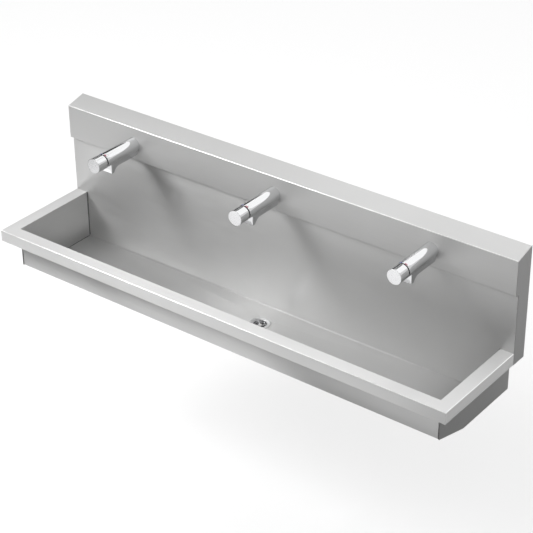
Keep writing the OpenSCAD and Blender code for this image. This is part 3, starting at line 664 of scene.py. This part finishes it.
def tap_body(side):
    """Barrel, rib and spout of one tap as one casting, with the mouth's pocket and the threaded shank."""
    centre = tap_centre(side)
    rings = tap_stations()
    placed = [[(centre.x + x, centre.y - out, centre.z + z) for x, z in ring] for out, ring in rings]
    verts, faces = loft(placed)
    n = len(placed[0])
    row = next(i for i, (out, _) in enumerate(rings) if out == MOUTH_BACK)
    a, b = row * n + UNDER, row * n + UNDER + 1
    c, d = b + n, a + n
    faces.remove((a, b, c, d))
    start = len(verts)
    verts += [(verts[i][0], verts[i][1], verts[i][2] + MOUTH_DEPTH) for i in (a, b, c, d)]
    e, f, g, h = range(start, start + 4)
    faces += [(a, b, f, e), (b, c, g, f), (c, d, h, g), (d, a, e, h), (e, f, g, h)]
    return make_piece(f"{side}_tap_casting", verts, faces, CHROME, replaces=(f"{side}_tap_body",))


POINTER_HALF = 4.5 * MM
POINTER_DEEP = 1.2 * MM
POINTER_RIBS = (1.2 * MM, 2.2 * MM)
POINTER_RIB_LOW = 0.4 * MM
STEP_EDGE = 0.06 * MM
POINTER_MARGIN = 0.5 * MM
POINTER_END = 3 * MM
ROUND_STEPS = 110
BUTTON_L = 42.5 * MM
BUTTON_BACK_EDGE = 0.5 * MM
BUTTON_FRONT_EDGE = 0.6 * MM
BUTTON_WALL = 4.7 * MM
BUTTON_DEEP = 36 * MM
STEM_R = 4 * MM
STEM_END = 120.5 * MM
BUTTON_SMOOTH_DEG = 30
# Depth behind the button's front and radius, in millimetres
DISC_SEAT = ((0, 25.2), (0.5, 25.1), (0.6, 10))
DISC_PROFILE = ((0.6, 0.05), (0.6, 25.0), (0.3, 25.0), (0.15, 24.8), (0.1, 12), (0.05, 0.05))


def button_angles():
    """Angles round the button with the pointer's edges among them."""
    marks = [POINTER_HALF + POINTER_MARGIN]
    for edge in (POINTER_HALF, POINTER_RIBS[1], POINTER_RIBS[0]):
        marks += [edge + STEP_EDGE, edge - STEP_EDGE]
    across = sorted([x for m in marks for x in (m, -m)], reverse=True)
    pointer = [math.acos(x / TAP_R) for x in across]
    gap = 2 * math.pi - pointer[-1] + pointer[0]
    rest = [pointer[-1] + gap * i / ROUND_STEPS for i in range(1, ROUND_STEPS)]
    return pointer + rest, across


def button_radius(x):
    """Radius of the button's top in the pointer, at a distance across it."""
    across = abs(x)
    if across > POINTER_HALF:
        return TAP_R
    on_rib = POINTER_RIBS[0] < across < POINTER_RIBS[1]
    height = TAP_R - (POINTER_RIB_LOW if on_rib else POINTER_DEEP)
    return height / math.sqrt(1 - (x / TAP_R) ** 2)


def tap_button(side):
    """Button as a polished cap with the ribbed pointer let into its top, and its stem."""
    centre = tap_centre(side)
    front = centre.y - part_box(f"{side}_tap_button")[0][1]
    back = front - BUTTON_L
    angles, across = button_angles()
    rings = []
    for along, inward in reversed(edge_steps(BUTTON_BACK_EDGE, 3)):
        rings.append((back + BUTTON_BACK_EDGE - along, TAP_R - inward, False))
    slot_back, slot_front = back + POINTER_END, front - POINTER_END
    rings += [(slot_back - STEP_EDGE, TAP_R, False), (slot_back + STEP_EDGE, TAP_R, True),
              (slot_front - STEP_EDGE, TAP_R, True), (slot_front + STEP_EDGE, TAP_R, False)]
    for along, inward in edge_steps(BUTTON_FRONT_EDGE):
        rings.append((front - BUTTON_FRONT_EDGE + along, TAP_R - inward, False))
    rings += [(front - deep * MM, r * MM, False) for deep, r in DISC_SEAT]
    inner = [(TAP_R - BUTTON_WALL, back), (TAP_R - BUTTON_WALL, back + BUTTON_DEEP),
             (STEM_R, back + BUTTON_DEEP), (STEM_R, STEM_END)]
    rings = [(out, r, False) for r, out in reversed(inner)] + rings
    placed = []
    for out, r, slotted in rings:
        ring = []
        for i, a in enumerate(angles):
            here = button_radius(across[i]) if slotted and i < len(across) else r
            ring.append((centre.x + here * math.cos(a), centre.y - out, centre.z + here * math.sin(a)))
        placed.append(ring)
    verts, faces = loft(placed)
    row = next(i for i, ring in enumerate(rings) if ring[2])
    dark, light = [], []
    for i in range(len(across) - 1):
        middle = abs(across[i] + across[i + 1]) / 2
        if middle < POINTER_HALF:
            (light if POINTER_RIBS[0] < middle < POINTER_RIBS[1] else dark).append(row * len(angles) + i)
    body = f"{side}_button"
    make_piece(f"{side}_button_cap", verts, faces, CHROME, body, (f"{side}_tap_button",),
               BUTTON_SMOOTH_DEG, ((DARK_PLASTIC, dark), (POINTER_WHITE, light)))
    disc = [(front - deep * MM, r * MM) for deep, r in DISC_PROFILE]
    lathe(f"{side}_button_disc", centre, disc, BUTTON_FACE, body)


def lathe(name, centre, profile, material, body, steps=96):
    """Piece turned about a tap's axis; profile gives (distance out from the header, radius)."""
    rings = []
    for out, r in profile:
        rings.append([(centre.x + r * math.cos(2 * math.pi * i / steps), centre.y - out,
                       centre.z + r * math.sin(2 * math.pi * i / steps)) for i in range(steps)])
    verts, faces = loft(rings)
    return make_piece(name, verts, faces, material, body)


MARK_STEPS = 10
# Where each mark starts and ends round the body, in degrees from the right
HOT_MARK_DEG = (57, 80)
COLD_MARK_DEG = (100, 123)
# Distance out from the header and radius, in millimetres
MARK_PROFILE = ((151.0, 25.5), (151.0, 26.04), (155.3, 26.04), (155.7, 25.9), (155.9, 25.5))


def mark_inlays(name, node, start_deg, end_deg, material, slot):
    """Painted marks let into the front edge of each tap's body."""
    parts = []
    for side in TAP_NAMES:
        centre = tap_centre(side)
        rings = []
        for i in range(MARK_STEPS + 1):
            a = math.radians(start_deg + (end_deg - start_deg) * i / MARK_STEPS)
            c, s = math.cos(a), math.sin(a)
            rings.append([(centre.x + r * MM * c, centre.y - out * MM, centre.z + r * MM * s)
                          for out, r in MARK_PROFILE])
        parts.append(loft(rings))
    verts, faces = joined(parts)
    make_piece(name, verts, faces, material, replaces=(node,))


# Waste

WASTE_SMOOTH_DEG = 50
# Thread of the tail: turns, pitch, lowest crest's height above the landing, and radii of crest and root, in
# millimetres
WASTE_THREADS = 21
WASTE_PITCH = 2
WASTE_THREAD_LOW = -58.5
WASTE_CREST, WASTE_ROOT = 23.9, 23.1
# Radius and height above the landing, in millimetres, below and above the thread
WASTE_FOOT = ((20.0, -60), (23.4, -60), (23.9, -59.4))
WASTE_HEAD = ((23.9, -17.0), (24.9, -17.0), (24.9, 0.9), (35.6, 0.9), (36.0, 1.2), (36.0, 1.9), (35.7, 2.4),
              (34.8, 2.9), (33.6, 3.15), (31.5, 3.0), (27.0, 2.3), (24.2, 1.75), (23.0, 1.45), (22.45, 0.9),
              (22.3, 0.2), (22.3, -8.0), (20.0, -8.0))


def turned(name, profile, material, replaces, smooth_deg, steps=96):
    """Closed ring turned about the waste's axis; profile gives (radius, height above the landing)."""
    n = len(profile)
    verts, faces = [], []
    for i in range(steps):
        a = 2 * math.pi * i / steps
        verts += [(r * math.cos(a), WASTE_Y + r * math.sin(a), LANDING_Z + z) for r, z in profile]
    for i in range(steps):
        j = (i + 1) % steps
        for k in range(n):
            m = (k + 1) % n
            faces.append((i * n + k, i * n + m, j * n + m, j * n + k))
    make_piece(name, verts, faces, material, replaces=replaces, smooth_deg=smooth_deg)


def waste():
    """Waste with a rounded flange, sunk seat and threaded tail."""
    outside = list(WASTE_FOOT)
    for i in range(WASTE_THREADS):
        crest = WASTE_THREAD_LOW + WASTE_PITCH * i
        outside += [(WASTE_CREST, crest), (WASTE_ROOT, crest + WASTE_PITCH / 2)]
    outside += WASTE_HEAD
    profile = [(r * MM, z * MM) for r, z in outside]
    turned("waste_dish", profile, WASTE_STEEL, ("waste_body",), WASTE_SMOOTH_DEG)


# Pipes and springs


def bent_path(points, radius, steps=10):
    """Points of a path whose corners are rounded."""
    path = [Vector(points[0])]
    for a, b, c in zip(points, points[1:], points[2:]):
        a, b, c = Vector(a), Vector(b), Vector(c)
        d0, d1 = (b - a).normalized(), (c - b).normalized()
        turn = d0.angle(d1)
        back = radius * math.tan(turn / 2)
        start = b - d0 * back
        side = (d1 - d0 * d0.dot(d1)).normalized()
        for i in range(steps + 1):
            t = turn * i / steps
            path.append(start + d0 * radius * math.sin(t) + side * radius * (1 - math.cos(t)))
    path.append(Vector(points[-1]))
    return path


def tube_mesh(path, radii, steps=28):
    """Verts and faces of a round tube along a path, with a radius for each point."""
    rings = []
    side = None
    for i, p in enumerate(path):
        before, after = path[max(0, i - 1)], path[min(len(path) - 1, i + 1)]
        along = (after - before).normalized()
        if side is None:
            side = along.orthogonal().normalized()
        side = (side - along * side.dot(along)).normalized()
        other = along.cross(side)
        r = radii[i] if isinstance(radii, list) else radii
        turns = [2 * math.pi * k / steps for k in range(steps)]
        rings.append([p + side * r * math.cos(a) + other * r * math.sin(a) for a in turns])
    return loft(rings)


def joined(parts):
    """One list of verts and faces from several."""
    verts, faces = [], []
    for part_verts, part_faces in parts:
        shift = len(verts)
        verts += list(part_verts)
        faces += [tuple(v + shift for v in face) for face in part_faces]
    return verts, faces


SUPPLY_R = 9 * MM
FEED_R = 5 * MM
PORT_X = 9.5 * MM
SUPPLY_Y = -22 * MM
SUPPLY_BEND = 25 * MM
FEED_BEND = 12 * MM
STUB_H = 16 * MM
# Distances in from the pipe's end, radii of its dome there and where the full pipe starts, in millimetres
DOME_STATIONS = (0, 0.7, 2.0, 4.0)
DOME_RADII = (3, 6, 8.2)
DOME_END = 6
# Height over the pipe's centre line and radius of a stub, in millimetres
STUB_PROFILE = ((0, 9.5), (7.8, 9.5), (8.8, 8.4), (10, 7), (15.4, 7), (16, 6.4), (16, 5.05), (11.5, 5.05))


def manifold(name, node, side, way):
    """Supply pipe with a domed end, a bend down and three brazed stubs.

    side is the end where it bends down, -1 left or 1 right; way is where its stubs point, 1 up or -1 down.
    """
    low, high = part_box(node)
    pipe_z = high[2] - SUPPLY_R if way < 0 else high[2] - STUB_H
    end_x = high[0] if side < 0 else low[0]
    drop_x = (low[0] + SUPPLY_R) if side < 0 else (high[0] - SUPPLY_R)
    outward = -side
    start = Vector((end_x, SUPPLY_Y, pipe_z))
    dome = [start - Vector((outward * d * MM, 0, 0)) for d in DOME_STATIONS]
    path = dome + bent_path([start - Vector((outward * DOME_END * MM, 0, 0)), (drop_x, SUPPLY_Y, pipe_z),
                             (drop_x, SUPPLY_Y, low[2])], SUPPLY_BEND)
    radii = [r * MM for r in DOME_RADII] + [SUPPLY_R] * (len(path) - len(DOME_RADII))
    parts = [tube_mesh(path, radii)]
    for tap in TAP_NAMES:
        x = tap_centre(tap).x + way * PORT_X
        foot = Vector((x, SUPPLY_Y, pipe_z))
        stub = [foot + Vector((0, 0, way * h * MM)) for h, _ in STUB_PROFILE]
        parts.append(tube_mesh(stub, [r * MM for _, r in STUB_PROFILE]))
    verts, faces = joined(parts)
    make_piece(name, verts, faces, COPPER, replaces=(node,))


def feed(side, kind, way):
    """Small pipe into the back of a tap from a supply stub that points up (1) or down (-1)."""
    node = f"{side}_tap_{kind}_feed"
    low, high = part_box(node)
    centre = tap_centre(side)
    x = (low[0] + high[0]) / 2
    far = high[2] if way < 0 else low[2]
    path = bent_path([(x, SUPPLY_Y, far), (x, SUPPLY_Y, centre.z), (x, low[1], centre.z)], FEED_BEND)
    verts, faces = tube_mesh(path, FEED_R, 20)
    make_piece(f"{side}_{kind}_feed_pipe", verts, faces, COPPER, replaces=(node,))


SPRING_TURNS = 9
SPRING_WIRE = 1.0 * MM
SPRING_STEPS = 32
CLOSED_PITCH = 2.05 * SPRING_WIRE


def tap_spring(side):
    """Coil behind a button, with closed end turns."""
    low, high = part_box(f"{side}_tap_spring")
    centre = tap_centre(side)
    back, front = high[1], low[1]
    mean = (high[0] - low[0]) / 2 - SPRING_WIRE
    steps = SPRING_STEPS * SPRING_TURNS
    open_pitch = (back - front - 2 * SPRING_WIRE - 2 * CLOSED_PITCH) / (SPRING_TURNS - 2)
    path = []
    for i in range(steps + 1):
        turn = SPRING_TURNS * i / steps
        along = (CLOSED_PITCH * min(turn, 1) + open_pitch * min(max(turn - 1, 0), SPRING_TURNS - 2)
                 + CLOSED_PITCH * max(turn - SPRING_TURNS + 1, 0))
        a = 2 * math.pi * turn
        path.append(Vector((centre.x + mean * math.cos(a), back - SPRING_WIRE - along,
                            centre.z + mean * math.sin(a))))
    verts, faces = tube_mesh(path, SPRING_WIRE, 12)
    coil = make_piece(f"{side}_spring_coil", verts, faces, SPRING_STEEL, f"{side}_button",
                      (f"{side}_tap_spring",))
    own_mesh(coil)


# Fasteners and softened nodes


def softened(node, width, segments=2, material=None, body=BODY):
    """A copy of a node with flat faces joined and its edges rounded."""
    mesh = frame["nodes"][node].data.copy()
    mesh.name = f"{node}_soft"
    work = bmesh.new()
    work.from_mesh(mesh)
    bmesh.ops.remove_doubles(work, verts=work.verts, dist=1e-6)
    bmesh.ops.dissolve_limit(work, angle_limit=math.radians(1), verts=work.verts, edges=work.edges)
    work.to_mesh(mesh)
    work.free()
    if "custom_normal" in mesh.attributes:
        mesh.attributes.remove(mesh.attributes["custom_normal"])
    mesh.shade_smooth()
    mesh.set_sharp_from_angle(angle=math.radians(SMOOTH_DEG))
    if material:
        mesh.materials.clear()
        mesh.materials.append(material)
    piece = linked(f"{node}_soft", mesh)
    finish_piece(piece, body, (node,))
    return bevel(piece, width, segments)


SCREW_COUNT = 7
SCREW_HEAD_R = 3.5 * MM
SCREW_STEPS = 24
SOCKET_R = 1.5 * MM
# Height over the header's lower face and radius, in millimetres
SCREW_PROFILE = ((9.0, 1.2), (8.6, 2.0), (0.0, 2.0), (0.0, 3.3), (-0.2, 3.5), (-1.2, 3.4), (-1.8, 3.0),
                 (-2.2, 2.2))
SOCKET_HEIGHTS = (-2.2, -0.9)


def cover_screws():
    """Pan head screws under the header with a six sided socket."""
    low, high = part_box("cover_screws")
    y = (low[1] + high[1]) / 2
    angles = [2 * math.pi * k / SCREW_STEPS for k in range(SCREW_STEPS)]
    parts = []
    span = high[0] - low[0] - 2 * SCREW_HEAD_R
    for i in range(SCREW_COUNT):
        x = low[0] + SCREW_HEAD_R + span * i / (SCREW_COUNT - 1)
        rings = []
        for z, r in SCREW_PROFILE:
            rings.append([(x + r * MM * math.cos(a), y + r * MM * math.sin(a), HEADER_BOTTOM + z * MM)
                          for a in angles])
        for z in SOCKET_HEIGHTS:
            ring = []
            for a in angles:
                r = SOCKET_R * math.cos(math.pi / 6) / math.cos((a % (math.pi / 3)) - math.pi / 6)
                ring.append((x + r * math.cos(a), y + r * math.sin(a), HEADER_BOTTOM + z * MM))
            rings.append(ring)
        parts.append(loft(rings))
    verts, faces = joined(parts)
    make_piece("cover_screw_set", verts, faces, SCREW_STEEL, replaces=("cover_screws",))


# Camera, floor and lights


AZIMUTH, ELEVATION, ROLL = math.radians(37.81), math.radians(30.61), math.radians(-0.61)
TARGET = Vector((0.09797, -0.24697, 0.11197))
DISTANCE = 5.35566
LENS = 114.11
SENSOR = 36
FAR_CLIP = 60


def photo_camera():
    """Camera at the photograph's viewing angle."""
    back = Vector((math.sin(AZIMUTH) * math.cos(ELEVATION), -math.cos(AZIMUTH) * math.cos(ELEVATION),
                   math.sin(ELEVATION)))
    right = Vector((math.cos(AZIMUTH), math.sin(AZIMUTH), 0))
    up = back.cross(right)
    right_rolled = right * math.cos(ROLL) + up * math.sin(ROLL)
    up_rolled = up * math.cos(ROLL) - right * math.sin(ROLL)
    data = bpy.data.cameras.new("camera")
    data.lens = LENS
    data.sensor_width = SENSOR
    data.clip_end = FAR_CLIP
    camera = linked("camera", data)
    turn = Matrix((right_rolled, up_rolled, back)).transposed().to_4x4()
    camera.matrix_world = Matrix.Translation(TARGET + back * DISTANCE) @ turn
    bpy.context.scene.camera = camera


STUDIO_FLOOR_Z = -0.85
FLOOR_HALF = 14.0
STUDIO_R = 5.5
CARD_Z = STUDIO_FLOOR_Z + 0.02
WORLD_LIGHT = 1.02

# Name, start and end angle in degrees, low, high and level
WALLS = (
    ("front_left_wall", 185, 306, CARD_Z, 2.2, 0.06),
    ("front_left_top", 185, 245, 2.2, 15.0, 0.08),
    ("front_top", 245, 306, 2.6, 8.0, 1.7),
    ("back_top", 48, 128, 2.3, 7.0, 1.5),
    ("front_right_wall", 306, 355, CARD_Z, 5.5, 1.3),
    ("back_left_wall", 112, 185, CARD_Z, 4.0, 0.04),
    ("back_wall", -5, 112, CARD_Z, 0.9, 0.3),
)

# Name, X from and to, Y from and to, and level
CARDS = (
    ("far_left_card", -5, -2.1, -5, -0.05, 0.4),
    ("front_left_card", -1.5, -0.8, -1.57, -0.05, 0.68),
    ("bright_left_card", -2.1, -1.5, -1.57, -0.05, 1.8),
    ("tap_left_card", -2.1, -0.8, -5, -1.57, 1.3),
    ("front_middle_card", -0.8, -0.35, -1.57, -0.05, 0.8),
    ("tap_right_card", -0.8, 0.35, -5, -1.57, 1.3),
    ("front_right_card", -0.35, 0.35, -1.57, -0.05, 0.84),
    ("right_card", 0.35, 5, -1.9, -0.05, 0.05),
    ("far_middle_card", 0.35, 1.8, -5, -1.9, 0.05),
    ("far_right_card", 1.8, 5, -5, -1.9, 1.0),
    ("near_back_card", -5, 0.9, -0.05, 0.9, 0.1),
    ("right_back_card", 0.9, 5, -0.05, 0.9, 0.36),
    ("far_back_card", -5, 5, 0.9, 5, 0.5),
)

# Name, place, aim, width, height and power
LAMPS = (
    ("centre_light", (-1.8, -2.0, 1.95), (0, -0.06, 0), 0.75, 1.7, 22),
    ("left_light", (-2.65, -1.9, 2.5), (-0.85, -0.06, 0.1), 0.9, 1.7, 26),
    ("top_light", (-0.45, 0.8, 2.3), (0.7, -0.3, 0), 0.9, 0.7, 2.2),
)


def pale_floor():
    """Wide white floor under the part."""
    mesh = bpy.data.meshes.new("studio_floor")
    corners = [(x * FLOOR_HALF, y * FLOOR_HALF, STUDIO_FLOOR_Z)
               for x, y in ((-1, -1), (1, -1), (1, 1), (-1, 1))]
    mesh.from_pydata(corners, [], [(0, 1, 2, 3)])
    mesh.materials.append(node_material("floor_white", 0.0, 0.9, (0.93, 0.93, 0.93))[0])
    floor = linked("studio_floor", mesh)


def white_world():
    """White for the camera, reflections and glass, softer for the light on the part."""
    world = bpy.data.worlds.new("studio")
    world.use_nodes = True
    bpy.context.scene.world = world
    tree = world.node_tree
    tree.nodes.clear()
    path = tree.nodes.new("ShaderNodeLightPath")
    seen = tree.nodes.new("ShaderNodeMath")
    seen.operation = "MAXIMUM"
    seen_all = tree.nodes.new("ShaderNodeMath")
    seen_all.operation = "MAXIMUM"
    tree.links.new(path.outputs["Is Camera Ray"], seen.inputs[0])
    tree.links.new(path.outputs["Is Glossy Ray"], seen.inputs[1])
    tree.links.new(seen.outputs[0], seen_all.inputs[0])
    tree.links.new(path.outputs["Is Transmission Ray"], seen_all.inputs[1])
    light = tree.nodes.new("ShaderNodeBackground")
    backdrop = tree.nodes.new("ShaderNodeBackground")
    for node, strength in ((light, WORLD_LIGHT), (backdrop, 1.0)):
        node.inputs["Color"].default_value = (1, 1, 1, 1)
        node.inputs["Strength"].default_value = strength
    mix = tree.nodes.new("ShaderNodeMixShader")
    out = tree.nodes.new("ShaderNodeOutputWorld")
    tree.links.new(seen_all.outputs[0], mix.inputs["Fac"])
    tree.links.new(light.outputs[0], mix.inputs[1])
    tree.links.new(backdrop.outputs[0], mix.inputs[2])
    tree.links.new(mix.outputs[0], out.inputs["Surface"])


def card(name, corners, level):
    """Grey studio card that only reflections show, for the tones of the polished and satin metal."""
    mesh = bpy.data.meshes.new(name)
    mesh.from_pydata(corners, [], [tuple(range(len(corners)))])
    show_in_reflections(name, mesh, level)


def show_in_reflections(name, mesh, level):
    """Stages an even glow that only reflections see."""
    material = bpy.data.materials.new(name)
    material.use_nodes = True
    tree = material.node_tree
    tree.nodes.clear()
    glow = tree.nodes.new("ShaderNodeEmission")
    glow.inputs["Color"].default_value = (1, 1, 1, 1)
    glow.inputs["Strength"].default_value = level
    out = tree.nodes.new("ShaderNodeOutputMaterial")
    tree.links.new(glow.outputs[0], out.inputs["Surface"])
    mesh.materials.append(material)
    flag = linked(name, mesh)
    flag.visible_camera = False
    flag.visible_diffuse = False
    flag.visible_transmission = False
    flag.visible_shadow = False


def studio_wall(name, start_deg, end_deg, low, high, level, steps=32):
    """Curved grey wall round part of the studio, shown by reflections alone."""
    verts, faces = [], []
    for i in range(steps + 1):
        a = math.radians(start_deg + (end_deg - start_deg) * i / steps)
        for z in (low, high):
            verts.append((STUDIO_R * math.cos(a), STUDIO_R * math.sin(a), z))
    for i in range(steps):
        faces.append((2 * i, 2 * i + 2, 2 * i + 3, 2 * i + 1))
    mesh = bpy.data.meshes.new(name)
    mesh.from_pydata(verts, [], faces)
    show_in_reflections(name, mesh, level)


def softbox(name, place, aim, width, height, power):
    """Rectangular area lamp aimed at a point."""
    data = bpy.data.lights.new(name, "AREA")
    data.shape = "RECTANGLE"
    data.size = width
    data.size_y = height
    data.energy = power
    lamp = linked(name, data)
    lamp.location = place
    lamp.rotation_euler = (Vector(aim) - Vector(place)).to_track_quat("-Z", "Y").to_euler()


photo_camera()
dress_nodes()
rim_frame()
header_cover()
bowl_shell()
corner_welds_painted_shade()
for tap in TAP_NAMES:
    tap_body(tap)
    tap_button(tap)
    tap_spring(tap)
    feed(tap, "hot", -1)
    feed(tap, "cold", 1)
mark_inlays("hot_mark_inlays", "hot_marks", *HOT_MARK_DEG, HOT, "hot_paint")
mark_inlays("cold_mark_inlays", "cold_marks", *COLD_MARK_DEG, COLD, "cold_paint")
waste()
manifold("hot_supply_pipe", "hot_manifold", -1, -1)
manifold("cold_supply_pipe", "cold_manifold", 1, 1)
cover_screws()
softened("splash_panel", 0.3 * MM)
for node in ("left_cheek", "right_cheek", "left_end_plate", "right_end_plate"):
    softened(node, 0.5 * MM, material=STEEL_UPRIGHT)
for node in ("header_rail", "top_rail", "left_wall_bracket", "right_wall_bracket", "tap_plates"):
    softened(node, 0.5 * MM)
for node in ("tap_nuts", "waste_nut", "pipe_clips", "hot_stop_valve", "cold_stop_valve", "sound_pads"):
    softened(node, 0.9 * MM, 3)
for node in ("hot_supply_tail", "cold_supply_tail", "waste_washer", "tap_gaskets"):
    softened(node, 0.4 * MM)
for kind in ("hot", "cold"):
    softened(f"{kind}_stop_key", 0.8 * MM, 3, body=f"{kind}_lever")
pale_floor()
white_world()
for wall in WALLS:
    studio_wall(*wall)
for name, x0, x1, y0, y1, level in CARDS:
    card(name, [(x0, y0, CARD_Z), (x1, y0, CARD_Z), (x1, y1, CARD_Z), (x0, y1, CARD_Z)], level)
for lamp in LAMPS:
    softbox(*lamp)

bpy.context.scene.view_settings.view_transform = "Standard"
